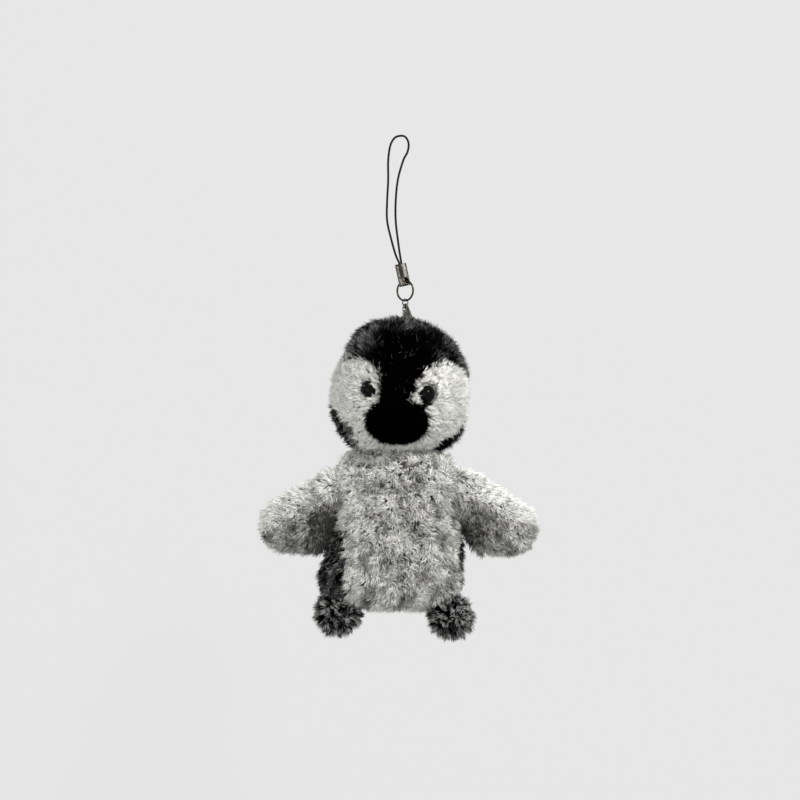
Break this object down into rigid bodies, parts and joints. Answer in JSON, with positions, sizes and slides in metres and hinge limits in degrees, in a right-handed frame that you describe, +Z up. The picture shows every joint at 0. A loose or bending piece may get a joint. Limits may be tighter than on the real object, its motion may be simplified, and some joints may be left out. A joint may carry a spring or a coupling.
{
  "type": "plush penguin charm",
  "caption": "Furry stuffed penguin chick with soft flippers and ball feet, hung by a cord loop, a metal crimp and linked rings.",
  "frame": {"origin": "inner top of the cord loop, where the part hangs", "axes": "+Z up, +X to the viewer's right, the face looks along -Y"},
  "size_m": [0.1337, 0.062, 0.2375],
  "materials": {
    "cord": "braided, satin",
    "metal": "antique nickel plate",
    "tab": "woven ribbon",
    "black_plush": "long black pile",
    "dark_plush": "dark pile with pale tips",
    "white_plush": "off-white pile",
    "frosted_plush": "grey pile with white tips",
    "beak_plush": "short black pile",
    "stuffing": "polyester fibre",
    "eye": "polished black",
    "washer": "plain"
  },
  "bodies": {
    "strap": {"strap_cord": "cord", "cord_crimp": "metal"},
    "jump_ring": {"jump_ring": "metal"},
    "small_ring": {"small_ring": "metal"},
    "head": {"hang_tab": "tab", "head_crown": "black_plush", "head_back": "dark_plush", "cheek_left": "white_plush", "cheek_right": "white_plush", "head_stuffing": "stuffing", "beak_cover": "beak_plush", "beak_stuffing": "stuffing", "eye_left": "eye", "eye_right": "eye", "eye_washer_left": "washer", "eye_washer_right": "washer"},
    "chain_link_1": {"chain_link_1": "metal"},
    "chain_link_2": {"chain_link_2": "metal"},
    "chain_link_3": {"chain_link_3": "metal"},
    "torso": {"belly_panel": "frosted_plush", "back_panel": "dark_plush", "body_stuffing": "stuffing"},
    "flipper_left": {"flipper_left_front": "frosted_plush", "flipper_left_back": "frosted_plush", "flipper_left_stuffing": "stuffing"},
    "flipper_right": {"flipper_right_front": "frosted_plush", "flipper_right_back": "frosted_plush", "flipper_right_stuffing": "stuffing"},
    "foot_left": {"foot_left_cover": "dark_plush", "foot_left_stuffing": "stuffing"},
    "foot_right": {"foot_right_cover": "dark_plush", "foot_right_stuffing": "stuffing"}
  },
  "joints": [
    {"name": "jump_ring_swing", "type": "hinge", "parent": "strap", "child": "jump_ring", "pos_m": [0.0024, -0.0005, -0.0674], "axis": [0.788, -0.6157, 0], "range_deg": [-45, 45]},
    {"name": "small_ring_swing", "type": "hinge", "parent": "jump_ring", "child": "small_ring", "pos_m": [0.0024, -0.0005, -0.0763], "axis": [0.6157, 0.788, 0], "range_deg": [-25, 25]},
    {"name": "tab_swing", "type": "hinge", "parent": "small_ring", "child": "head", "pos_m": [0.00294, -0.00012, -0.07838], "axis": [0.8192, 0.5736, 0], "range_deg": [-25, 25]},
    {"name": "chain_link_1_swing", "type": "hinge", "parent": "head", "child": "chain_link_1", "pos_m": [0.00177, -0.00094, -0.07843], "axis": [0.8192, 0.5736, 0], "range_deg": [-30, 3]},
    {"name": "chain_link_2_swing", "type": "hinge", "parent": "chain_link_1", "child": "chain_link_2", "pos_m": [0.00177, -0.00094, -0.07975], "axis": [-0.5736, 0.8192, 0], "range_deg": [-10, 30]},
    {"name": "chain_link_3_swing", "type": "hinge", "parent": "chain_link_2", "child": "chain_link_3", "pos_m": [0.00177, -0.00094, -0.08129], "axis": [0.8192, 0.5736, 0], "range_deg": [-25, 3]},
    {"name": "neck_bend", "type": "hinge", "parent": "head", "child": "torso", "pos_m": [0, 0, -0.1472], "axis": [1, 0, 0], "range_deg": [-10, 10], "stiffness_Nm_per_rad": 0.03},
    {"name": "flipper_left_flap", "type": "hinge", "parent": "torso", "child": "flipper_left", "pos_m": [-0.03, 0, -0.1645], "axis": [0, 1, 0], "range_deg": [-20, 60], "stiffness_Nm_per_rad": 0.006, "springref_deg": 7.45},
    {"name": "flipper_right_flap", "type": "hinge", "parent": "torso", "child": "flipper_right", "pos_m": [0.0295, 0, -0.1645], "axis": [0, -1, 0], "range_deg": [-20, 60], "stiffness_Nm_per_rad": 0.006, "springref_deg": 7.45},
    {"name": "foot_left_tilt", "type": "hinge", "parent": "torso", "child": "foot_left", "pos_m": [-0.029, -0.005, -0.2144], "axis": [1, 0, 0], "range_deg": [-12, 12], "stiffness_Nm_per_rad": 0.002},
    {"name": "foot_right_tilt", "type": "hinge", "parent": "torso", "child": "foot_right", "pos_m": [0.024, -0.005, -0.2159], "axis": [1, 0, 0], "range_deg": [-12, 12], "stiffness_Nm_per_rad": 0.002}
  ]
}
